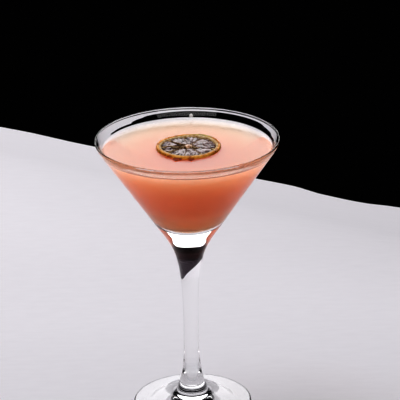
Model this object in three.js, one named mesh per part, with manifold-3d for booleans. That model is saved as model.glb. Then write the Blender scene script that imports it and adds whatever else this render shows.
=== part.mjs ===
// Martini glass, served: a long-stemmed cocktail glass with a conical bowl, the drink that fills it and a dried
// citrus wheel floating on the drink. Millimetres, +Z up, origin on the table under the middle of the foot.
import * as THREE from 'three';
import { mergeVertices } from 'three/addons/utils/BufferGeometryUtils.js';
import Module from 'manifold-3d';

// ---------------------------------------------------------------- driving dimensions
const GLASS_HEIGHT = 181.0; // foot to the top of the rim
const RIM_RADIUS = 57.0; // outside, at the widest part of the fire-polished rim
const FOOT_RADIUS = 37.7; // outside edge of the foot
const FOOT_SEAM_Z = 30.0; // where the stem is fused to the neck of the foot
const BOWL_SEAM_Z = 100.0; // where the stem is fused to the solid base of the bowl
const CONE_APEX_Z = 93.8; // where the outside cone would come to a point
const CONE_SLOPE = 0.669; // radius gained for each mm of height, outside
const WALL_RADIAL = 2.15; // wall measured horizontally, near the rim
const BOWL_FLOOR_Z = 124.5; // lowest point of the inside: the bowl stands on a thick solid base
const DRINK_LEVEL_Z = 174.2; // surface of the drink
const GAP = 0.3; // clearance between pieces that touch

const WHEEL_X = 0.7; // the citrus wheel floats a little off the axis
const WHEEL_Y = 1.4;
const WHEEL_RADIUS = 20.3; // outside of the rind
const WHEEL_BOTTOM_Z = 173.3; // it floats about a millimetre deep
const RIND_WIDTH = 1.9;
const RIND_HEIGHT = 3.0;
const PITH_WIDTH = 1.5; // the pale ring inside the rind
const PITH_HEIGHT = 2.4;
const CORE_RADIUS = 2.7;
const MEMBRANE = 0.8; // thickness of the walls between segments
const SEGMENTS = 9;
const PULP_HEIGHT = 1.5;
const DIMPLE_CLEARANCE = 0.6; // between the rind and the drink around it

const ROUND = 60; // steps round the glass
const ROUND_STEM = 40;

// ---------------------------------------------------------------- helpers
const TAU = Math.PI * 2;

// A turned solid: the profile is a list of [radius, height], from the axis up the outside and back to the axis.
function turned(profile, steps) {
  const pts = profile.map(([r, z]) => new THREE.Vector2(r, z));
  const g = new THREE.LatheGeometry(pts, steps);
  g.rotateX(Math.PI / 2);
  return facingOut(g);
}

// A turned ring: the profile closes on itself and never reaches the axis.
function ring(profile, steps) {
  return turned([...profile, profile[0]], steps);
}

// Shared vertices merged, no empty triangles, and faces pointing out.
function facingOut(geometry) {
  const g = geometry.clone();
  g.deleteAttribute('normal');
  g.deleteAttribute('uv');
  const m = mergeVertices(g, 1e-4);
  const p = m.attributes.position;
  const src = m.index.array;
  const tri = [];
  for (let i = 0; i < src.length; i += 3) {
    const [a, b, c] = [src[i], src[i + 1], src[i + 2]];
    if (a !== b && b !== c && c !== a) tri.push(a, b, c);
  }
  const v = (i) => new THREE.Vector3().fromBufferAttribute(p, i);
  let volume = 0;
  for (let i = 0; i < tri.length; i += 3) volume += v(tri[i]).dot(v(tri[i + 1]).cross(v(tri[i + 2]))) / 6;
  if (volume < 0) for (let i = 0; i < tri.length; i += 3) [tri[i + 1], tri[i + 2]] = [tri[i + 2], tri[i + 1]];
  m.setIndex(tri);
  m.computeVertexNormals();
  return m;
}

const wasm = await Module();
wasm.setup();

function toSolid(geometry) {
  return new wasm.Manifold(
    new wasm.Mesh({
      numProp: 3,
      vertProperties: new Float32Array(geometry.attributes.position.array),
      triVerts: new Uint32Array(geometry.index.array),
    }),
  );
}

function fromSolid(solid) {
  const m = solid.getMesh();
  const g = new THREE.BufferGeometry();
  g.setAttribute('position', new THREE.BufferAttribute(new Float32Array(m.vertProperties), 3));
  g.setIndex(Array.from(m.triVerts));
  g.computeVertexNormals();
  return g;
}

function piece(name, geometry, colour, roughness, metalness = 0, extra = {}) {
  const mesh = new THREE.Mesh(geometry, new THREE.MeshStandardMaterial({ color: colour, roughness, metalness, ...extra }));
  mesh.name = name;
  return mesh;
}

const glassLook = { transparent: true, opacity: 0.35 };
const outerCone = (z) => CONE_SLOPE * (z - CONE_APEX_Z);

// ---------------------------------------------------------------- foot: a thin disc that rises into a flared neck
// It rests on a flat ring, and the middle of its underside is lifted clear of the table.
const foot = turned(
  [
    [0, 1.5],
    [9, 1.4],
    [18, 1.1],
    [24, 0.6],
    [27.5, 0],
    [36.3, 0],
    [37.3, 0.35],
    [FOOT_RADIUS, 1.0],
    [37.35, 1.65],
    [36.2, 2.05],
    [31, 2.6],
    [25, 3.3],
    [20, 4.1],
    [16, 5.1],
    [13.2, 6.3],
    [11.4, 7.6],
    [10.2, 9.3],
    [9.2, 11.8],
    [8.3, 14.6],
    [7.3, 18],
    [6.45, 22],
    [5.8, 26],
    [5.4, FOOT_SEAM_Z - GAP / 2],
    [0, FOOT_SEAM_Z - GAP / 2],
  ],
  ROUND,
);

// ---------------------------------------------------------------- stem: a solid drawn rod, wider at both ends
const stem = turned(
  [
    [0, FOOT_SEAM_Z + GAP / 2],
    [5.38, FOOT_SEAM_Z + GAP / 2],
    [4.95, 36],
    [4.82, 45],
    [4.8, 56],
    [4.85, 65],
    [5.05, 72],
    [5.32, 78],
    [5.68, 84],
    [6.15, 89],
    [6.85, 94.5],
    [7.9, BOWL_SEAM_Z - GAP / 2],
    [0, BOWL_SEAM_Z - GAP / 2],
  ],
  ROUND_STEM,
);

// ---------------------------------------------------------------- bowl: a cone with a solid base and a rounded rim
const floorProfile = [
  [0, 0],
  [6, 0.8],
  [11, 2.9],
  [15.5, 6.0],
  [19.5, 10.5],
]; // radius and rise of the rounded floor of the inside
const wallTop = GLASS_HEIGHT - 5.4;
const innerWall = [
  [160, 0.05],
  [147, 0.7],
  [140, 3.0],
]; // height, and how much the wall is thicker there than at the rim
const bowlOutside = [
  [0, BOWL_SEAM_Z + GAP / 2],
  [7.98, BOWL_SEAM_Z + GAP / 2],
  [9.35, 105],
  [11.4, 110],
  [14.75, 116],
  [20.9, 125],
  [outerCone(140), 140],
  [outerCone(160), 160],
  [outerCone(wallTop), wallTop],
];
const bowlRim = [
  [RIM_RADIUS - 0.56, GLASS_HEIGHT - 2.4],
  [RIM_RADIUS - 0.14, GLASS_HEIGHT - 1.35],
  [RIM_RADIUS, GLASS_HEIGHT - 0.75],
  [RIM_RADIUS - 0.12, GLASS_HEIGHT - 0.3],
  [RIM_RADIUS - 0.62, GLASS_HEIGHT],
  [RIM_RADIUS - 1.12, GLASS_HEIGHT - 0.5],
  [outerCone(GLASS_HEIGHT - 2.0) - WALL_RADIAL + 0.14, GLASS_HEIGHT - 2.0],
];
const bowlInside = [
  [outerCone(wallTop) - WALL_RADIAL, wallTop],
  ...innerWall.map(([z, extra]) => [outerCone(z) - WALL_RADIAL - extra, z]),
  ...floorProfile
    .slice()
    .reverse()
    .map(([r, rise]) => [r, BOWL_FLOOR_Z + rise]),
];
const bowl = turned([...bowlOutside, ...bowlRim, ...bowlInside], ROUND);

// ---------------------------------------------------------------- drink: fills the cone, dimpled under the wheel
const drinkBody = turned(
  [
    ...floorProfile.map(([r, rise]) => [Math.max(0, r - (r ? GAP * 0.9 : 0)), BOWL_FLOOR_Z + rise + GAP * (r ? 0.7 : 1)]),
    ...innerWall
      .slice()
      .reverse()
      .map(([z, extra]) => [outerCone(z) - WALL_RADIAL - extra - GAP * 1.2, z]),
    [outerCone(DRINK_LEVEL_Z) - WALL_RADIAL - GAP * 1.2, DRINK_LEVEL_Z],
    [0, DRINK_LEVEL_Z],
  ],
  ROUND,
);
const dimple = turned(
  [
    [0, WHEEL_BOTTOM_Z - GAP],
    [WHEEL_RADIUS + DIMPLE_CLEARANCE, WHEEL_BOTTOM_Z - GAP],
    [WHEEL_RADIUS + DIMPLE_CLEARANCE, DRINK_LEVEL_Z + 2],
    [0, DRINK_LEVEL_Z + 2],
  ],
  48,
);
dimple.translate(WHEEL_X, WHEEL_Y, 0);
const drink = fromSolid(toSolid(drinkBody).subtract(toSolid(dimple)));

// ---------------------------------------------------------------- citrus wheel: rind, pith web and pulp segments
const wheel = new THREE.Group();
wheel.position.set(WHEEL_X, WHEEL_Y, WHEEL_BOTTOM_Z);

const rind = ring(
  [
    [WHEEL_RADIUS - RIND_WIDTH, 0.25],
    [WHEEL_RADIUS - 0.7, 0],
    [WHEEL_RADIUS - 0.1, 0.7],
    [WHEEL_RADIUS, 1.6],
    [WHEEL_RADIUS - 0.3, RIND_HEIGHT - 0.4],
    [WHEEL_RADIUS - 1.0, RIND_HEIGHT],
    [WHEEL_RADIUS - RIND_WIDTH, RIND_HEIGHT - 0.3],
  ],
  48,
);
wheel.add(piece('citrus_rind', rind, 0xb8702e, 0.6));

const pithOuter = WHEEL_RADIUS - RIND_WIDTH - GAP;
const pithInner = pithOuter - PITH_WIDTH;
const pieAngle = TAU / SEGMENTS;

// One wedge-shaped opening of the web between two membranes, as a shape outline grown or shrunk by inset.
function wedge(index, inset) {
  const mid = index * pieAngle;
  const rOut = pithInner - inset;
  const rIn = CORE_RADIUS + 0.9 + inset;
  const half = MEMBRANE / 2 + inset;
  const aOut = pieAngle / 2 - Math.asin(half / rOut);
  const aIn = pieAngle / 2 - Math.asin(half / rIn);
  const out = [];
  for (let k = 0; k <= 5; k++) {
    const a = mid - aOut + (2 * aOut * k) / 5;
    out.push(new THREE.Vector2(rOut * Math.cos(a), rOut * Math.sin(a)));
  }
  for (let k = 0; k <= 2; k++) {
    const a = mid + aIn - (2 * aIn * k) / 2;
    out.push(new THREE.Vector2(rIn * Math.cos(a), rIn * Math.sin(a)));
  }
  return out;
}

function circlePoints(r, n) {
  return Array.from({ length: n }, (_, k) => new THREE.Vector2(r * Math.cos((TAU * k) / n), r * Math.sin((TAU * k) / n)));
}

const web = new THREE.Shape(circlePoints(pithOuter, 48));
for (let i = 0; i < SEGMENTS; i++) web.holes.push(new THREE.Path(wedge(i, 0).reverse()));
const pith = facingOut(new THREE.ExtrudeGeometry(web, { depth: PITH_HEIGHT, bevelEnabled: false }));
pith.translate(0, 0, 0.3);
wheel.add(piece('citrus_pith', pith, 0xe6c9a0, 0.7));

for (let i = 0; i < SEGMENTS; i++) {
  const g = facingOut(
    new THREE.ExtrudeGeometry(new THREE.Shape(wedge(i, GAP)), { depth: PULP_HEIGHT, bevelEnabled: false }),
  );
  g.translate(0, 0, 0.6);
  wheel.add(piece(`citrus_pulp_${i + 1}`, g, 0x8d8490, 0.45));
}

// ---------------------------------------------------------------- the whole
const martini = new THREE.Group();
martini.add(
  piece('foot', foot, 0xe8ecef, 0.03, 0, glassLook),
  piece('stem', stem, 0xe8ecef, 0.03, 0, glassLook),
  piece('bowl', bowl, 0xe8ecef, 0.03, 0, glassLook),
  piece('cocktail', drink, 0xd9694a, 0.15),
  wheel,
);

export default martini;
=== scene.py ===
import math

import bmesh
import bpy
import numpy as np
from mathutils import Matrix, Vector, noise


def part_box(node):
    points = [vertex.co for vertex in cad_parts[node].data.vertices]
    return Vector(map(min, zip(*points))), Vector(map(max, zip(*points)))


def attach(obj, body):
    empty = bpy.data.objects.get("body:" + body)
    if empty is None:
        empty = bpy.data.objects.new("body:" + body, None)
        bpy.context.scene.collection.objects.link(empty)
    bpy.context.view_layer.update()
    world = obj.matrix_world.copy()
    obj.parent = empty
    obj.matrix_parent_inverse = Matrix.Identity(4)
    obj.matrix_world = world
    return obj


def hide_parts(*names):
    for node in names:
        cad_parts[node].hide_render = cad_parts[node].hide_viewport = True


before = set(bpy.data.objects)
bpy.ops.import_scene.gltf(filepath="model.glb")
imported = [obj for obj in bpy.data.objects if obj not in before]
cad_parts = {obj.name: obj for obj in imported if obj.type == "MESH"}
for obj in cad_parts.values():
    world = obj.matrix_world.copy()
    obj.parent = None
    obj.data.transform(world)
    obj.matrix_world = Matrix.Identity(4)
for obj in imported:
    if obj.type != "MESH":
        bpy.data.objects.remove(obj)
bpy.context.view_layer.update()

MM = 0.001
TAU = 2 * math.pi

# ------------------------------------------------------------------ camera
cam_data = bpy.data.cameras.new("camera")
cam_data.sensor_width = 36.0
cam_data.lens = 198.0
cam_data.clip_start = 0.05
cam_data.clip_end = 50
cam = bpy.data.objects.new("camera", cam_data)
bpy.context.scene.collection.objects.link(cam)
YAW, PITCH, ROLL = math.radians(0.324), math.radians(22.041), math.radians(-1.083)
fwd = Vector((math.sin(YAW) * math.cos(PITCH), math.cos(YAW) * math.cos(PITCH), -math.sin(PITCH)))
right = fwd.cross(Vector((0, 0, 1))).normalized()
up = right.cross(fwd).normalized()
r2 = math.cos(ROLL) * right + math.sin(ROLL) * up
u2 = -math.sin(ROLL) * right + math.cos(ROLL) * up
cam.matrix_world = Matrix.Translation((0, -1.26462, 0.65180)) @ Matrix(
    ((r2.x, u2.x, -fwd.x), (r2.y, u2.y, -fwd.y), (r2.z, u2.z, -fwd.z))
).to_4x4()
bpy.context.scene.camera = cam

# ------------------------------------------------------------------ sizes, from the frame (mm)
def mm(v):
    return v / MM


bowl_lo, bowl_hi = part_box("bowl")
stem_lo, stem_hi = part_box("stem")
foot_lo, foot_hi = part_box("foot")
drink_lo, drink_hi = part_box("cocktail")
rind_lo, rind_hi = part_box("citrus_rind")
pith_lo, pith_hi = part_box("citrus_pith")
H = mm(bowl_hi.z)
RIM = mm(bowl_hi.x)
FOOT_R = mm(foot_hi.x)
SEAM_LOW = mm(foot_hi.z + stem_lo.z) / 2
SEAM_HIGH = mm(stem_hi.z + bowl_lo.z) / 2
LEVEL = mm(drink_hi.z)
FLOOR_Z = mm(drink_lo.z) - 0.3
APEX, SLOPE = 93.8, 0.669
WALL = 2.15


def cone(z):
    return SLOPE * (z - APEX)


# ------------------------------------------------------------------ mesh helpers
def smooth_chain(points, step=0.8):
    """A centripetal Catmull-Rom curve through the points, sampled about every step mm."""
    p = [np.array(q, float) for q in points]
    first, last = 2 * p[0] - p[1], 2 * p[-1] - p[-2]
    p = [first, *p, last]
    out = []
    for i in range(1, len(p) - 2):
        a, b, c, d = p[i - 1 : i + 3]
        t0 = 0.0
        t1 = t0 + max(np.linalg.norm(b - a), 1e-6) ** 0.5
        t2 = t1 + max(np.linalg.norm(c - b), 1e-6) ** 0.5
        t3 = t2 + max(np.linalg.norm(d - c), 1e-6) ** 0.5
        n = max(1, int(math.ceil(np.linalg.norm(c - b) / step)))
        for k in range(n):
            t = t1 + (t2 - t1) * k / n
            a1 = (t1 - t) / (t1 - t0) * a + (t - t0) / (t1 - t0) * b
            a2 = (t2 - t) / (t2 - t1) * b + (t - t1) / (t2 - t1) * c
            a3 = (t3 - t) / (t3 - t2) * c + (t - t2) / (t3 - t2) * d
            b1 = (t2 - t) / (t2 - t0) * a1 + (t - t0) / (t2 - t0) * a2
            b2 = (t3 - t) / (t3 - t1) * a2 + (t - t1) / (t3 - t1) * a3
            out.append((t2 - t) / (t2 - t1) * b1 + (t - t1) / (t2 - t1) * b2)
    out.append(p[-2])
    return [(max(float(q[0]), 0.0), float(q[1])) for q in out]


def lathe(name, profile, steps, wall_slots=None, cap_start=None, cap_end=None):
    """A turned mesh in metres. profile is a list of (r, z) in mm; wall_slots gives the material index of each band."""
    me = bpy.data.meshes.new(name)
    verts, faces, slots = [], [], []
    rings = []
    for r, z in profile:
        if r < 1e-6:
            rings.append([len(verts)])
            verts.append((0, 0, z * MM))
        else:
            rings.append(list(range(len(verts), len(verts) + steps)))
            verts += [(r * MM * math.cos(TAU * k / steps), r * MM * math.sin(TAU * k / steps), z * MM) for k in range(steps)]
    for i in range(len(rings) - 1):
        a, b = rings[i], rings[i + 1]
        s = wall_slots[i] if wall_slots else 0
        for k in range(steps):
            n = (k + 1) % steps
            if len(a) == 1 and len(b) == 1:
                continue
            if len(a) == 1:
                faces.append((a[0], b[n], b[k]))
            elif len(b) == 1:
                faces.append((a[k], a[n], b[0]))
            else:
                faces.append((a[k], a[n], b[n], b[k]))
            slots.append(s)
    sharp = []
    for ring_i, cap in ((0, cap_start), (len(rings) - 1, cap_end)):
        if cap is None or len(rings[ring_i]) == 1:
            continue
        ring = rings[ring_i]
        centre = len(verts)
        verts.append((0, 0, profile[ring_i][1] * MM))
        for k in range(steps):
            n = (k + 1) % steps
            faces.append((centre, ring[n], ring[k]) if ring_i == 0 else (centre, ring[k], ring[n]))
            slots.append(cap)
            sharp.append((ring[k], ring[n]))
    me.from_pydata(verts, [], faces)
    me.polygons.foreach_set("material_index", slots)
    me.polygons.foreach_set("use_smooth", [True] * len(faces))
    me.update()
    bm = bmesh.new()
    bm.from_mesh(me)
    bmesh.ops.recalc_face_normals(bm, faces=bm.faces)
    pairs = {tuple(sorted(p)) for p in sharp}
    for e in bm.edges:
        if tuple(sorted(v.index for v in e.verts)) in pairs:
            e.smooth = False
    bm.to_mesh(me)
    bm.free()
    ob = bpy.data.objects.new(name, me)
    bpy.context.scene.collection.objects.link(ob)
    return ob


# ------------------------------------------------------------------ materials
def new_material(name):
    m = bpy.data.materials.new(name)
    m.use_nodes = True
    nt = m.node_tree
    nt.nodes.clear()
    out = nt.nodes.new("ShaderNodeOutputMaterial")
    return m, nt, out


def principled(nt, **values):
    p = nt.nodes.new("ShaderNodeBsdfPrincipled")
    for k, v in values.items():
        key = k.replace("_", " ")
        if isinstance(v, tuple) and len(v) == 3 and key != "Subsurface Radius":
            v = (*v, 1)
        p.inputs[key].default_value = v
    return p


GLASS_IOR, DRINK_IOR, SURFACE_IOR = 1.47, 1.34, 1.42

glass, nt, out = new_material("clear_glass")
p = principled(nt, Base_Color=(1, 1, 1), Roughness=0.0, IOR=GLASS_IOR, Transmission_Weight=1.0)
nt.links.new(p.outputs[0], out.inputs["Surface"])

wet_glass, nt, out = new_material("wet_glass")
p = principled(nt, Base_Color=(1, 1, 1), Roughness=0.0, IOR=GLASS_IOR / DRINK_IOR, Transmission_Weight=1.0)
nt.links.new(p.outputs[0], out.inputs["Surface"])

wall_glass, nt, out = new_material("wall_glass")
p = principled(nt, Base_Color=(1, 1, 1), Roughness=0.0, IOR=GLASS_IOR, Transmission_Weight=1.0, Specular_Tint=(0.0, 0.0, 0.0))
nt.links.new(p.outputs[0], out.inputs["Surface"])

# painted shade: the foot's glass is dimmed to 0.925 of the clear glass, a darker copy of the same glass
foot_glass_painted_shade, nt, out = new_material("foot_glass_painted_shade")
p = principled(nt, Base_Color=(0.925, 0.93, 0.935), Roughness=0.0, IOR=GLASS_IOR, Transmission_Weight=1.0, Specular_Tint=(0.0, 0.0, 0.0))
nt.links.new(p.outputs[0], out.inputs["Surface"])

stem_glass, nt, out = new_material("stem_glass")
p = principled(nt, Base_Color=(1, 1, 1), Roughness=0.0, IOR=GLASS_IOR, Transmission_Weight=1.0, Specular_Tint=(0.62, 0.5, 0.6))
nt.links.new(p.outputs[0], out.inputs["Surface"])

seam, nt, out = new_material("fused_seam")
t = nt.nodes.new("ShaderNodeBsdfTransparent")
nt.links.new(t.outputs[0], out.inputs["Surface"])

# ------------------------------------------------------------------ glass profile
underside = smooth_chain([(0, 1.5), (9, 1.4), (18, 1.1), (24, 0.6), (27.5, 0.0)])[:-1]
edge = smooth_chain([(27.5, 0), (36.3, 0), (37.3, 0.35), (FOOT_R, 1.0), (37.35, 1.65), (36.2, 2.05), (31, 2.6), (25, 3.3),
                     (20, 4.1), (16, 5.1), (13.2, 6.3), (11.4, 7.6), (10.2, 9.3), (9.2, 11.8), (8.3, 14.6), (7.3, 18),
                     (6.45, 22), (5.8, 26), (5.4, SEAM_LOW), (4.95, 36), (4.82, 45), (4.8, 56), (4.85, 65), (5.05, 72),
                     (5.32, 78), (5.68, 84), (6.15, 89), (6.85, 94.5), (7.94, SEAM_HIGH), (9.35, 105), (11.4, 110),
                     (14.75, 116), (20.9, 125), (cone(140), 140), (cone(160), 160), (cone(H - 5.4), H - 5.4)], 0.7)
rim = smooth_chain([(cone(H - 5.4), H - 5.4), (RIM - 1.3, H - 3.7), (RIM - 0.56, H - 2.4), (RIM - 0.14, H - 1.35), (RIM, H - 0.75),
                    (RIM - 0.12, H - 0.3), (RIM - 0.36, H - 0.06), (RIM - 0.62, H), (RIM - 0.88, H - 0.12), (RIM - 1.12, H - 0.5),
                    (cone(H - 1.2) - WALL + 0.24, H - 1.2), (cone(H - 2.0) - WALL + 0.14, H - 2.0), (cone(H - 3.0) - WALL + 0.05, H - 3.0), (cone(H - 5.4) - WALL, H - 5.4)], 0.25)
INSIDE = [(cone(147) - WALL - 0.7, 147), (cone(140) - WALL - 3.0, 140),
              (19.5, FLOOR_Z + 10.5), (15.5, FLOOR_Z + 6.0), (11, FLOOR_Z + 2.9), (6, FLOOR_Z + 0.8), (0, FLOOR_Z)]
inside_pts = [(cone(H - 5.4) - WALL, H - 5.4), (cone(160) - WALL - 0.05, 160)] + INSIDE
inside = smooth_chain(inside_pts, 0.8)


def split_at(chain, z):
    i = min(range(len(chain)), key=lambda k: abs(chain[k][1] - z))
    return chain[: i + 1], chain[i:]


foot_part, rest = split_at(edge, SEAM_LOW)
stem_part, bowl_part = split_at(rest, SEAM_HIGH)
foot_profile = [(r, max(z, 0.0)) for r, z in underside + foot_part]
CONTACT = LEVEL + 1.3  # where the drink meets the wall


def inner_radius(z):
    zs = [q[1] for q in inside][::-1]
    rs = [q[0] for q in inside][::-1]
    return float(np.interp(z, zs, rs))


inside_dry = [q for q in inside if q[1] > CONTACT] + [(inner_radius(CONTACT), CONTACT)]
inside_wet = [q for q in inside if q[1] < CONTACT]
bowl_profile = bowl_part + rim[1:] + inside_dry[1:] + inside_wet
n_dry = len(bowl_part + rim[1:] + inside_dry[1:]) - 1

foot_ob = lathe("glass_foot", foot_profile, 160, wall_slots=[3] * (len(foot_profile) - 1), cap_end=1)
stem_ob = lathe("glass_stem", stem_part, 96, wall_slots=[4] * (len(stem_part) - 1), cap_start=1, cap_end=1)
bowl_ob = lathe("glass_bowl", bowl_profile, 224, wall_slots=[(3 if 108 < bowl_profile[i][1] else 4) if i < len(bowl_part) and bowl_profile[i][1] < 170 else 0 for i in range(n_dry)] + [2] * (len(bowl_profile) - 1 - n_dry), cap_start=1)
for ob, node in ((foot_ob, "foot"), (stem_ob, "stem"), (bowl_ob, "bowl")):
    ob.data.materials.append(glass)
    ob.data.materials.append(seam)
    ob.data.materials.append(wet_glass)
    ob.data.materials.append(foot_glass_painted_shade if node == "foot" else wall_glass)
    ob.data.materials.append(stem_glass)
    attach(ob, "glass")
    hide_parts(node)

# ------------------------------------------------------------------ drink
wheel_c = (rind_lo + rind_hi) / 2
WX, WY, WR = mm(wheel_c.x), mm(wheel_c.y), mm(rind_hi.x - rind_lo.x) / 2


def drink_rings():
    """The drink's surface, from the middle out to the contact line: rings of (cx, cy, r, z) in mm."""
    contact_r = inner_radius(CONTACT)
    stations = [0, 6, 12, 17, 19.5] + [WR + d for d in (0.05, 0.3, 0.6, 1.0, 1.5, 2.2, 3.2, 4.6, 6.5, 9, 12, 15.5, 19, 22.5)]
    stations += [contact_r - d for d in (6.5, 5, 4, 3.2, 2.6, 2.0, 1.5, 1.1, 0.75, 0.45, 0.2, 0.0)]
    out = []
    for r in stations:
        share = min(max((r - WR - 2) / (contact_r - 7 - WR - 2), 0), 1)
        z = LEVEL + (CONTACT - LEVEL) * math.exp(-(contact_r - r) / 1.1)
        if r > WR:
            z += 0.3 * math.exp(-(r - WR) / 0.8)
        out.append((WX * (1 - share), WY * (1 - share), r, z))
    return out


def ring_mesh(name, rings, steps):
    """A mesh through rings of (cx, cy, r, z) in mm, normals out or up."""
    verts, faces, ids = [], [], []
    for cx, cy, r, z in rings:
        if r < 1e-6:
            ids.append([len(verts)])
            verts.append((cx * MM, cy * MM, z * MM))
        else:
            ids.append(list(range(len(verts), len(verts) + steps)))
            verts += [((cx + r * math.cos(TAU * k / steps)) * MM, (cy + r * math.sin(TAU * k / steps)) * MM, z * MM) for k in range(steps)]
    for i in range(len(ids) - 1):
        a, b = ids[i], ids[i + 1]
        for k in range(steps):
            n = (k + 1) % steps
            if len(a) == 1:
                faces.append((a[0], b[k], b[n]))
            elif len(b) == 1:
                faces.append((a[k], b[0], a[n]))
            else:
                faces.append((a[k], b[k], b[n], a[n]))
    me = bpy.data.meshes.new(name)
    me.from_pydata(verts, [], faces)
    me.polygons.foreach_set("use_smooth", [True] * len(faces))
    me.update()
    ob = bpy.data.objects.new(name, me)
    bpy.context.scene.collection.objects.link(ob)
    return ob


surface_rings = drink_rings()
surface = ring_mesh("drink_surface", surface_rings, 192)
body_rings = [(cx, cy, r, z - 0.04) for cx, cy, r, z in surface_rings[:-1]]
body_rings.append((0, 0, inner_radius(CONTACT) - 0.03, CONTACT - 0.05))
body_rings += [(0, 0, max(r - 0.03, 0), z + 0.02) for r, z in inside if z < CONTACT - 0.3]
body = ring_mesh("drink_body", body_rings, 192)

top_mat, nt, out = new_material("drink_surface")
p = principled(nt, Base_Color=(1, 1, 1), Roughness=0.2, IOR=SURFACE_IOR, Transmission_Weight=1.0)
nt.links.new(p.outputs[0], out.inputs["Surface"])
surface.data.materials.append(top_mat)

SCATTER, ANISO = 62.0, 0.5
ABSORB, ABSORB_DENSITY = (0.972, 0.715, 0.40), 145.0
drink_mat, nt, out = new_material("cloudy_drink")
p = principled(nt, Base_Color=(0.80, 0.20, 0.08), Roughness=0.15, IOR=DRINK_IOR)
clear = nt.nodes.new("ShaderNodeBsdfTransparent")
path = nt.nodes.new("ShaderNodeLightPath")
mix = nt.nodes.new("ShaderNodeMixShader")
nt.links.new(path.outputs["Is Camera Ray"], mix.inputs[0])
nt.links.new(clear.outputs[0], mix.inputs[1])
nt.links.new(p.outputs[0], mix.inputs[2])
nt.links.new(mix.outputs[0], out.inputs["Surface"])
scatter = nt.nodes.new("ShaderNodeVolumeScatter")
scatter.inputs["Color"].default_value = (1, 1, 1, 1)
scatter.inputs["Density"].default_value = SCATTER
scatter.inputs["Anisotropy"].default_value = ANISO
absorb = nt.nodes.new("ShaderNodeVolumeAbsorption")
absorb.inputs["Color"].default_value = (*ABSORB, 1)
absorb.inputs["Density"].default_value = ABSORB_DENSITY
add = nt.nodes.new("ShaderNodeAddShader")
nt.links.new(scatter.outputs[0], add.inputs[0])
nt.links.new(absorb.outputs[0], add.inputs[1])
nt.links.new(add.outputs[0], out.inputs["Volume"])
body.data.materials.append(drink_mat)
for ob in (surface, body):
    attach(ob, "glass")
    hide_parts("cocktail")

# ------------------------------------------------------------------ citrus wheel
Z_LOW, Z_TOP = mm(rind_lo.z) + 0.03, mm(rind_hi.z) - 0.03


def fbm(x, y, z, scale, octaves=3):
    value, amp, total = 0.0, 1.0, 0.0
    for k in range(octaves):
        value += amp * noise.noise(Vector((x, y, z)) * scale * 2**k)
        total += amp
        amp *= 0.5
    return value / total


def around(a, seed, scale):
    """Noise that closes on itself round the wheel."""
    return fbm(math.cos(a) * scale, math.sin(a) * scale, seed, 1.0)


def bump(a, centre, width):
    d = (a - math.radians(centre) + math.pi) % TAU - math.pi
    return math.exp(-((d / math.radians(width)) ** 2))


def build(name, verts, faces, mats, slots=None, low=Z_LOW):
    me = bpy.data.meshes.new(name)
    warped = []
    for x, y, z in verts:
        r, a = math.hypot(x, y), math.atan2(y, x)
        z += 0.28 * (r / WR) ** 2 * math.sin(2 * a + 0.6) * (z - Z_LOW) / (Z_TOP - Z_LOW)
        warped.append(((WX + x) * MM, (WY + y) * MM, min(max(z, low), Z_TOP) * MM))
    me.from_pydata(warped, [], faces)
    me.polygons.foreach_set("use_smooth", [True] * len(faces))
    if slots:
        me.polygons.foreach_set("material_index", slots)
    me.update()
    bm = bmesh.new()
    bm.from_mesh(me)
    bmesh.ops.recalc_face_normals(bm, faces=bm.faces)
    bm.to_mesh(me)
    bm.free()
    ob = bpy.data.objects.new(name, me)
    bpy.context.scene.collection.objects.link(ob)
    for m in mats:
        me.materials.append(m)
    return ob


def add_loops(verts, faces, loops, closed):
    """Skins a row of equal closed loops of (x, y, z); an open row gets flat end caps."""
    base, m = len(verts), len(loops[0])
    for loop in loops:
        verts += loop
    count = len(loops)
    for k in range(count if closed else count - 1):
        n = (k + 1) % count
        for j in range(m):
            i = (j + 1) % m
            faces.append((base + k * m + j, base + n * m + j, base + n * m + i, base + k * m + i))
    if not closed:
        faces.append(tuple(base + j for j in range(m)))
        faces.append(tuple(base + (count - 1) * m + j for j in reversed(range(m))))


def rind_outer(a):
    return min(WR - 0.28 + 0.34 * around(a, 3.1, 1.6) + 0.12 * around(a, 7.7, 6.0), WR - 0.03)


def rind_width(a):
    return 1.75 + 0.55 * around(a, 12.4, 2.2)


def rind_top(a):
    return min(Z_TOP - 0.42 + 0.42 * around(a, 21.0, 1.9) + 0.16 * around(a, 5.0, 7.0) + 0.45 * bump(a, 62, 20), Z_TOP)


def ring_section(a, r0, r1, z0, z1, power, count, rough, seed):
    loop = []
    for k in range(count):
        t = TAU * k / count
        c, s = math.cos(t), math.sin(t)
        u = math.copysign(abs(c) ** power, c)
        v = math.copysign(abs(s) ** power, s)
        r = (r0 + r1) / 2 + (r1 - r0) / 2 * u
        z = (z0 + z1) / 2 + (z1 - z0) / 2 * v
        n = fbm(r * math.cos(a) + seed, r * math.sin(a), z, 0.9, 3) * rough
        r = min(r + n * u, WR - 0.02)
        z = min(max(z + n * v, Z_LOW), Z_TOP + 0.02)
        loop.append((r * math.cos(a), r * math.sin(a), z))
    return loop


OPEN = [0.15, 1.0, 0.1, 1.25, 0.9, 1.3, 0.2, 1.0, 0.55]  # how open the gap after each segment is
STEPS = 240
verts, faces = [], []
add_loops(verts, faces, [ring_section(TAU * k / STEPS, rind_outer(TAU * k / STEPS) - rind_width(TAU * k / STEPS), rind_outer(TAU * k / STEPS),
                                      Z_LOW, rind_top(TAU * k / STEPS), 0.62, 18, 0.3, 0.0) for k in range(STEPS)], True)
rind_data = (verts, faces)

verts, faces = [], []
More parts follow.
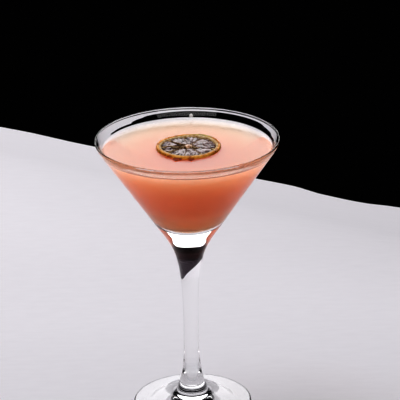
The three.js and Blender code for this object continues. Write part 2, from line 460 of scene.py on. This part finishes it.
# the white ring under the skin, ragged towards the pulp
loops = []
for k in range(STEPS):
    a = TAU * k / STEPS
    r1 = rind_outer(a) - rind_width(a) + 0.35
    r0 = 16.9 - 0.75 * abs(around(a, 31.0, 5.0)) - 0.35 * around(a, 2.0, 2.0)
    loops.append(ring_section(a, r0, r1, mm(pith_lo.z) + 0.05, rind_top(a) - 0.22 + 0.2 * around(a, 9.0, 4.0), 0.7, 14, 0.3, 40.0))
add_loops(verts, faces, loops, True)
# nine membranes between the segments
for m_i in range(9):
    a0 = math.radians(20 + 40 * m_i)
    loops = []
    for k in range(23):
        r = 1.6 + 15.6 * k / 22
        wob = 0.55 * fbm(r * 0.28, m_i * 3.7, 0.5, 1.0, 2)
        half = 0.24 + 0.16 * (1 + fbm(r * 0.5, m_i * 5.1, 2.5, 1.0, 2)) / 2 + 0.35 * math.exp(-((r - 2.4) / 1.6) ** 2)
        top = 174.75 + 0.6 * OPEN[m_i] + 0.8 * fbm(r * 0.3, m_i * 9.3, 7.5, 1.0, 2) + 0.25 * math.exp(-((r - 2) / 2.5) ** 2)
        loop = []
        for j in range(8):
            t = TAU * j / 8
            across = wob + half * math.cos(t)
            z = (174.0 + top) / 2 + (top - 174.0) / 2 * math.sin(t)
            loop.append((r * math.cos(a0) - across * math.sin(a0), r * math.sin(a0) + across * math.cos(a0), z))
        loops.append(loop)
    add_loops(verts, faces, loops, False)
web_faces = len(faces)
# the core
rows = []
for i in range(1, 12):
    p = math.pi * i / 12
    row = []
    for k in range(28):
        a = TAU * k / 28
        n = 1 + 0.26 * fbm(math.cos(a) * math.sin(p), math.sin(a) * math.sin(p), math.cos(p) + 4.0, 1.7, 2)
        row.append((2.55 * n * math.sin(p) * math.cos(a), 2.55 * n * math.sin(p) * math.sin(a), min(174.85 + 1.12 * n * math.cos(p), Z_TOP)))
    rows.append(row)
add_loops(verts, faces, rows, False)
pith_data = (verts, faces, [0] * web_faces + [1] * (len(faces) - web_faces))

# a near-black sheet under the pulp, so the gaps between the pieces read as dark cavities: painted shade
verts, faces = [], []
loops = []
for k in range(120):
    a = TAU * k / 120
    loop = []
    for r, z in ((17.6, 173.75), (17.6, 173.95), (13.5, 174.0), (9, 174.02), (5, 174.02), (1.0, 174.0), (1.0, 173.75), (9, 173.7)):
        dz = 0.12 * fbm(r * math.cos(a), r * math.sin(a), 1.0, 0.6, 2) if 173.9 < z else 0
        loop.append((r * math.cos(a), r * math.sin(a), z + dz))
    loops.append(loop)
add_loops(verts, faces, loops, True)
cavity_shade_sheet_data = (verts, faces)

# the pulp: dried segments that have shrunk from the rind and, in places, from the core
START = [4.2, 3.4, 3.6, 3.4, 6.8, 10.5, 4.4, 3.6, 6.8]
pulp_data = []
for s_i in range(9):
    mid = math.radians(40 * s_i)
    notches = [(-13 + 9.5 * q + 3.5 * noise.noise(Vector((s_i * 2.3, q * 1.7, 0.3))), 2.0 + 0.9 * noise.noise(Vector((s_i * 4.1, q, 5.3))),
                1.5 + 0.8 * noise.noise(Vector((s_i, q * 3.3, 9.1)))) for q in range(4)]
    NU, NV = 26, 20
    top, low = [], []
    for iu in range(NU + 1):
        u = iu / NU
        for iv in range(NV + 1):
            v = -1 + 2 * iv / NV
            deg = 20 * v
            cut = max(depth * math.exp(-(((deg - c) / w) ** 2)) for c, w, depth in notches)
            r_out = 17.2 - 0.3 * abs(v) ** 5 - 2.2 * cut
            r_in = START[s_i] + 1.1 * fbm(v * 1.3, s_i * 2.0, 0.0, 1.0, 2) + 0.6 * abs(v) ** 4
            r = r_in + (r_out - r_in) * u
            half = math.radians(20) - (OPEN[s_i] if v > 0 else OPEN[s_i - 1]) * (0.16 + 0.40 * fbm(r * 0.3, s_i * 7.0 + (3 if v > 0 else 0), 1.0, 1.0, 2)) / max(r, 3)
            a = mid + half * v * (1 - 0.12 * u**8)
            x, y = r * math.cos(a), r * math.sin(a)
            edge = (1 - abs(2 * u - 1) ** 9) * (1 - min(1.0, 0.45 + (OPEN[s_i] if v > 0 else OPEN[s_i - 1])) * abs(v) ** 8)
            wrinkle = 0.20 * fbm(r * 0.35, a * 26.0, s_i * 1.0, 1.0, 3) + 0.16 * fbm(x, y, 3.0, 0.5, 2)
            pit = max(0.0, fbm(x * 0.9 + 11, y * 0.9, 6.0, 0.42, 2) - 0.16) * 4.5
            swell = (0.12 + 0.88 * max(edge, 0) ** 0.5) * (1 - min(pit, 0.85))
            z = 174.08 + (1.15 + 1.1 * wrinkle + 0.18 * noise.noise(Vector((s_i * 1.9, 0, 3)))) * swell
            top.append((x, y, min(z, Z_TOP - 0.2)))
            low.append((x, y, 173.98))
    n1 = NV + 1
    count = len(top)
    f = []
    for iu in range(NU):
        for iv in range(NV):
            q = (iu * n1 + iv, iu * n1 + iv + 1, (iu + 1) * n1 + iv + 1, (iu + 1) * n1 + iv)
            f.append(q)
            f.append(tuple(count + w for w in reversed(q)))
    border = [iv for iv in range(n1)] + [iu * n1 + NV for iu in range(1, NU + 1)] + [NU * n1 + iv for iv in range(NV - 1, -1, -1)] + [iu * n1 for iu in range(NU - 1, 0, -1)]
    for k in range(len(border)):
        b0, b1 = border[k], border[(k + 1) % len(border)]
        f.append((b0, b1, count + b1, count + b0))
    pulp_data.append((top + low, f))


def coords(nt, stretch=(1000, 1000, 1000)):
    tc = nt.nodes.new("ShaderNodeTexCoord")
    mp = nt.nodes.new("ShaderNodeMapping")
    mp.inputs["Scale"].default_value = stretch
    nt.links.new(tc.outputs["Object"], mp.inputs["Vector"])
    return mp.outputs[0]


def noise_node(nt, vec, scale, detail=4, rough=0.6, distortion=0.0):
    n = nt.nodes.new("ShaderNodeTexNoise")
    n.inputs["Scale"].default_value = scale
    n.inputs["Detail"].default_value = detail
    n.inputs["Roughness"].default_value = rough
    n.inputs["Distortion"].default_value = distortion
    nt.links.new(vec, n.inputs["Vector"])
    return n.outputs["Fac"]


def ramp(nt, fac, stops):
    r = nt.nodes.new("ShaderNodeValToRGB")
    el = r.color_ramp.elements
    while len(el) < len(stops):
        el.new(0.5)
    for e, (pos, col) in zip(el, stops):
        e.position = pos
        e.color = (*col, 1)
    nt.links.new(fac, r.inputs[0])
    return r.outputs[0]


def blend(nt, fac, a, b, mode="MIX"):
    m = nt.nodes.new("ShaderNodeMix")
    m.data_type = "RGBA"
    m.blend_type = mode
    if isinstance(fac, float):
        m.inputs[0].default_value = fac
    else:
        nt.links.new(fac, m.inputs[0])
    for sock, val in ((m.inputs[6], a), (m.inputs[7], b)):
        if isinstance(val, tuple):
            sock.default_value = (*val, 1)
        else:
            nt.links.new(val, sock)
    return m.outputs[2]


def near(nt, vec, centre, inner, outer):
    """1 within inner mm of a point, 0 beyond outer mm."""
    d = nt.nodes.new("ShaderNodeVectorMath")
    d.operation = "DISTANCE"
    nt.links.new(vec, d.inputs[0])
    d.inputs[1].default_value = centre
    m = nt.nodes.new("ShaderNodeMapRange")
    m.inputs["From Min"].default_value = inner
    m.inputs["From Max"].default_value = outer
    m.inputs["To Min"].default_value = 1
    m.inputs["To Max"].default_value = 0
    nt.links.new(d.outputs["Value"], m.inputs["Value"])
    return m.outputs[0]


def bump_node(nt, height, strength, distance):
    b = nt.nodes.new("ShaderNodeBump")
    b.inputs["Strength"].default_value = strength
    b.inputs["Distance"].default_value = distance
    nt.links.new(height, b.inputs["Height"])
    return b.outputs[0]


rind_mat, nt, out = new_material("dried_rind")
vec = coords(nt)
col = ramp(nt, noise_node(nt, vec, 0.32, 5, 0.65), [(0.30, (0.16, 0.04, 0.008)), (0.42, (0.55, 0.17, 0.02)), (0.54, (0.86, 0.36, 0.05)), (0.68, (0.95, 0.60, 0.18))])
olive = ramp(nt, noise_node(nt, vec, 0.5, 4), [(0.35, (0.20, 0.14, 0.02)), (0.6, (0.70, 0.52, 0.11))])
col = blend(nt, near(nt, vec, (WX + 9, WY + 18, Z_TOP), 4, 11), col, olive)
p = principled(nt, Roughness=0.5, Specular_IOR_Level=0.25)
nt.links.new(col, p.inputs["Base Color"])
nt.links.new(bump_node(nt, noise_node(nt, vec, 1.6, 4, 0.7), 0.5, 0.0003), p.inputs["Normal"])
nt.links.new(p.outputs[0], out.inputs["Surface"])

pith_mat, nt, out = new_material("dried_pith")
vec = coords(nt)
col = ramp(nt, noise_node(nt, vec, 0.45, 5, 0.65), [(0.30, (0.20, 0.08, 0.025)), (0.43, (0.52, 0.30, 0.11)), (0.56, (0.76, 0.56, 0.30)), (0.70, (0.90, 0.76, 0.54))])
dark = ramp(nt, noise_node(nt, vec, 0.6, 4), [(0.38, (0.05, 0.02, 0.01)), (0.52, (0.30, 0.17, 0.07)), (0.64, (0.62, 0.46, 0.30))])
col = blend(nt, near(nt, vec, (WX, WY, 175.0), 12.5, 16.0), col, dark)
p = principled(nt, Roughness=0.6, Specular_IOR_Level=0.25)
nt.links.new(col, p.inputs["Base Color"])
nt.links.new(bump_node(nt, noise_node(nt, vec, 1.8, 4, 0.7), 0.5, 0.0003), p.inputs["Normal"])
nt.links.new(p.outputs[0], out.inputs["Surface"])

core_mat, nt, out = new_material("dried_core")
vec = coords(nt)
col = ramp(nt, noise_node(nt, vec, 0.7, 4, 0.6), [(0.34, (0.30, 0.10, 0.04)), (0.5, (0.78, 0.42, 0.24)), (0.65, (0.95, 0.72, 0.52))])
p = principled(nt, Roughness=0.35, Coat_Weight=0.4, Coat_Roughness=0.15)
nt.links.new(col, p.inputs["Base Color"])
nt.links.new(bump_node(nt, noise_node(nt, vec, 1.5, 3), 0.4, 0.0003), p.inputs["Normal"])
nt.links.new(p.outputs[0], out.inputs["Surface"])

# painted shade: near-black colour for the sheet that shows through the gaps between the pulp pieces
cavity_shade_mat, nt, out = new_material("painted_cavity_shade")
vec = coords(nt)
col = ramp(nt, noise_node(nt, vec, 0.5, 3), [(0.35, (0.022, 0.008, 0.005)), (0.7, (0.11, 0.035, 0.015))])
p = principled(nt, Roughness=0.6, Specular_IOR_Level=0.2)
nt.links.new(col, p.inputs["Base Color"])
nt.links.new(p.outputs[0], out.inputs["Surface"])

pulp_mat, nt, out = new_material("dried_pulp")
vec = coords(nt)
veins = noise_node(nt, vec, 0.75, 5, 0.7, 0.6)
col = ramp(nt, veins, [(0.34, (0.06, 0.028, 0.024)), (0.45, (0.26, 0.13, 0.11)), (0.55, (0.42, 0.32, 0.34)), (0.68, (0.70, 0.62, 0.66))])
patch = ramp(nt, noise_node(nt, vec, 0.27, 3, 0.55), [(0.41, (0.12, 0.04, 0.025)), (0.49, (0.58, 0.38, 0.32)), (0.57, (1.0, 1.0, 1.0))])
col = blend(nt, 0.85, col, patch, "MULTIPLY")
# painted shade: the pulp's colour goes to near black where it lies low, in its pits and at its edges
split = nt.nodes.new("ShaderNodeSeparateXYZ")
nt.links.new(vec, split.inputs[0])
depth = nt.nodes.new("ShaderNodeMapRange")
depth.inputs["From Min"].default_value = 174.35
depth.inputs["From Max"].default_value = 174.95
nt.links.new(split.outputs["Z"], depth.inputs["Value"])
col = blend(nt, depth.outputs[0], (0.04, 0.014, 0.008), col)
p = principled(nt, Roughness=0.3, Coat_Weight=0.3, Coat_Roughness=0.12)
nt.links.new(col, p.inputs["Base Color"])
nt.links.new(bump_node(nt, noise_node(nt, vec, 1.1, 4, 0.6), 0.6, 0.0004), p.inputs["Normal"])
nt.links.new(p.outputs[0], out.inputs["Surface"])

# dark red-brown colour for the patches just outside the rind's front edge
edge_patch_mat, nt, out = new_material("rind_edge_dark_patch")
vec = coords(nt)
col = ramp(nt, noise_node(nt, vec, 0.8, 3), [(0.35, (0.16, 0.015, 0.003)), (0.65, (0.36, 0.06, 0.01))])
p = principled(nt, Roughness=0.6, Specular_IOR_Level=0.1)
nt.links.new(col, p.inputs["Base Color"])
nt.links.new(p.outputs[0], out.inputs["Surface"])

rind_ob = build("citrus_rind_skin", *rind_data, [rind_mat])
web_ob = build("citrus_pith_web", pith_data[0], pith_data[1], [pith_mat, core_mat], pith_data[2])
cavity_shade_ob = build("citrus_cavity_shade_sheet", *cavity_shade_sheet_data, [cavity_shade_mat])
for ob, node, slot in ((rind_ob, "citrus_rind", "dried_rind"), (web_ob, "citrus_pith", "dried_pith"), (cavity_shade_ob, "citrus_pith", "dried_pith")):
    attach(ob, "garnish")
    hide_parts(node)
for s_i, (verts, faces) in enumerate(pulp_data):
    ob = build("citrus_pulp_piece_%d" % (s_i + 1), verts, faces, [pulp_mat])
    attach(ob, "garnish")
    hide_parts("citrus_pulp_%d" % (s_i + 1))

# dark patches on the drink just outside the front edge of the rind
verts, faces = [], []
for deg, wide, deep in ((251, 2.1, 4.7), (256, 1.2, 3.4), (246.5, 1.2, 3.6), (273, 1.4, 4.0), (277, 0.8, 2.8), (232, 0.9, 1.4)):
    a0 = math.radians(deg)
    r0 = rind_outer(a0) - 0.25
    rows = []
    for i in range(1, 8):
        p_ = math.pi * i / 8
        row = []
        for k in range(14):
            t = TAU * k / 14
            across, outw = wide * math.sin(p_) * math.cos(t), deep * math.sin(p_) * math.sin(t)
            r = min(r0 + outw, WR + 4.4)
            row.append((r * math.cos(a0) - across * math.sin(a0), r * math.sin(a0) + across * math.cos(a0), LEVEL + 0.36 + 0.3 * math.cos(p_)))
        rows.append(row)
    add_loops(verts, faces, rows, False)
edge_patch_ob = build("citrus_rind_edge_patches", verts, faces, [edge_patch_mat], low=LEVEL + 0.02)
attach(edge_patch_ob, "garnish")
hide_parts("citrus_rind")

# a near-white fleck on the glass just above the drink, at the back: a painted highlight standing in for a reflection
# on the wall
verts, faces, rows = [], [], []
fleck_z = CONTACT + 1.25
fleck_r = inner_radius(fleck_z) - 0.45
fleck_a = math.radians(86.9)
for i in range(1, 10):
    p_ = math.pi * i / 10
    row = []
    for k in range(20):
        t = TAU * k / 20
        n = 1 + 0.18 * fbm(math.cos(t) * math.sin(p_), math.sin(t) * math.sin(p_), math.cos(p_) + 9.0, 1.4, 2)
        across, depth = 1.25 * n * math.sin(p_) * math.cos(t), 0.6 * n * math.sin(p_) * math.sin(t)
        z = fleck_z + 1.05 * n * math.cos(p_)
        r = fleck_r + depth + (z - fleck_z) * SLOPE
        row.append((r * math.cos(fleck_a) - across * math.sin(fleck_a) - WX, r * math.sin(fleck_a) + across * math.cos(fleck_a) - WY, z))
    rows.append(row)
add_loops(verts, faces, rows, False)
# painted highlight: near-white colour on the small blob where the glass shows a bright reflection
highlight_fleck_mat, nt, out = new_material("painted_highlight_fleck")
col = ramp(nt, noise_node(nt, coords(nt), 1.4, 3), [(0.35, (0.80, 0.74, 0.72)), (0.65, (0.96, 0.94, 0.94))])
p = principled(nt, Roughness=0.3, Subsurface_Weight=0.3, Subsurface_Radius=(0.002, 0.002, 0.002))
nt.links.new(col, p.inputs["Base Color"])
nt.links.new(p.outputs[0], out.inputs["Surface"])
me = bpy.data.meshes.new("painted_highlight_fleck")
me.from_pydata([((WX + x) * MM, (WY + y) * MM, z * MM) for x, y, z in verts], [], faces)
me.polygons.foreach_set("use_smooth", [True] * len(faces))
bm = bmesh.new()
bm.from_mesh(me)
bmesh.ops.recalc_face_normals(bm, faces=bm.faces)
bm.to_mesh(me)
bm.free()
fleck = bpy.data.objects.new("painted_highlight_fleck", me)
bpy.context.scene.collection.objects.link(fleck)
me.materials.append(highlight_fleck_mat)
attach(fleck, "glass")
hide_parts("cocktail")

# ------------------------------------------------------------------ stage
cloth, nt, out = new_material("stage_cloth")
p = principled(nt, Roughness=0.9)
# painted shade: the cloth's colour is multiplied by a per-vertex grey that darkens it towards the far edge and towards
# the front, standing in for light falling off
floor_painted_shade = nt.nodes.new("ShaderNodeAttribute")
floor_painted_shade.attribute_name = "floor_painted_shade"
weave = ramp(nt, noise_node(nt, coords(nt, (60, 260, 60)), 1.0, 5, 0.6), [(0.3, (0.85, 0.83, 0.875)), (0.7, (0.88, 0.86, 0.905))])
nt.links.new(blend(nt, 1.0, weave, floor_painted_shade.outputs["Color"], "MULTIPLY"), p.inputs["Base Color"])
nt.links.new(p.outputs[0], out.inputs["Surface"])
# the cloth lies flat, then rolls gently down over the far edge, which runs slantwise behind the glass
EDGE_N = Vector((0.533, 0.846, 0))
EDGE_T = Vector((0.846, -0.533, 0))
EDGE_LINE = [(-3.2, 0.568), (-0.577, 0.568), (-0.545, 0.574), (-0.487, 0.563), (-0.42, 0.562), (-0.343, 0.566), (-0.265, 0.58),
             (-0.247, 0.579), (-0.21, 0.555), (-0.175, 0.55), (-0.16, 0.556), (-0.145, 0.583), (3.2, 0.583)]
columns = [-3.2, -2.0, -1.2, -0.8] + [-0.6 + 0.01 * k for k in range(51)] + [0.1, 0.5, 1.2, 2.0, 3.2]
rows = [(-2.6, 0.0), (-1.0, 0.0), (-0.4, 0.0)] + [(0.02 * k, 0.0) for k in range(12)]
for k in range(13):
    t = k / 12
    rows.append((0.255 + 0.09 * t, -0.36 * 0.09 * t * t / 2))
verts, faces = [], []
for d, z in rows + [(None, None)]:
    for u in columns:
        if d is None:
            e = float(np.interp(u, [q[0] for q in EDGE_LINE], [q[1] for q in EDGE_LINE]))
            verts.append(EDGE_N * e + EDGE_T * u + Vector((0, 0, rows[-1][1] - 0.36 * (e - rows[-1][0]))))
        else:
            verts.append(EDGE_N * d + EDGE_T * u + Vector((0, 0, z - 0.0001)))
nc = len(columns)
for i in range(len(rows)):
    for k in range(nc - 1):
        faces.append((nc * i + k, nc * i + k + 1, nc * (i + 1) + k + 1, nc * (i + 1) + k))
me = bpy.data.meshes.new("floor")
me.from_pydata(verts, [], faces)
me.polygons.foreach_set("use_smooth", [True] * len(faces))
me.update()
floor = bpy.data.objects.new("floor", me)
bpy.context.scene.collection.objects.link(floor)
floor_painted_shade = me.color_attributes.new("floor_painted_shade", "FLOAT_COLOR", "POINT")
for i, v in enumerate(me.vertices):
    # painted shade: up to 13 % darker towards the far edge and up to 10 % darker towards the front
    d = EDGE_N.dot(v.co)
    t = min(max((d - 0.16) / 0.2, 0), 1)
    k = 1 - 0.13 * t * t * (3 - 2 * t) - 0.10 * min(max((0.12 - v.co.y) / 0.2, 0), 1)
    floor_painted_shade.data[i].color = (k, k, k, 1)
me.materials.append(cloth)

world = bpy.data.worlds.new("world")
bpy.context.scene.world = world
world.use_nodes = True
world.node_tree.nodes["Background"].inputs[0].default_value = (0.0008, 0.0008, 0.0009, 1)
world.node_tree.nodes["Background"].inputs[1].default_value = 1.0


def area(name, loc, target, sx, sy, power, shape="RECTANGLE", colour=(1.0, 0.99, 1.0)):
    d = bpy.data.lights.new(name, "AREA")
    d.shape = shape
    d.size, d.size_y = sx, sy
    d.energy = power
    d.color = colour
    o = bpy.data.objects.new(name, d)
    bpy.context.scene.collection.objects.link(o)
    o.location = loc
    o.rotation_mode = "QUATERNION"
    o.rotation_quaternion = (Vector(target) - Vector(loc)).to_track_quat("-Z", "Y")
    o.visible_camera = False
    return o


area("window", (0.0, 1.7, 1.14), (0, 0, 0.12), 2.5, 1.45, 17.8, "ELLIPSE")
area("front_card", (0.0, -2.6, 1.0), (0, 0, 0.1), 4.0, 2.4, 41.0)
area("overhead", (-0.55, 0.5, 1.75), (0, 0.1, 0.05), 1.3, 1.0, 11.0)

bpy.context.scene.view_settings.view_transform = "Standard"
bpy.context.scene.view_settings.look = "High Contrast"
bpy.context.scene.cycles.volume_bounces = 12
bpy.context.scene.cycles.max_bounces = 24
bpy.context.scene.cycles.caustics_refractive = False
bpy.context.scene.cycles.transmission_bounces = 16
for o in (foot_ob, stem_ob, bowl_ob, surface):
    o.visible_shadow = False
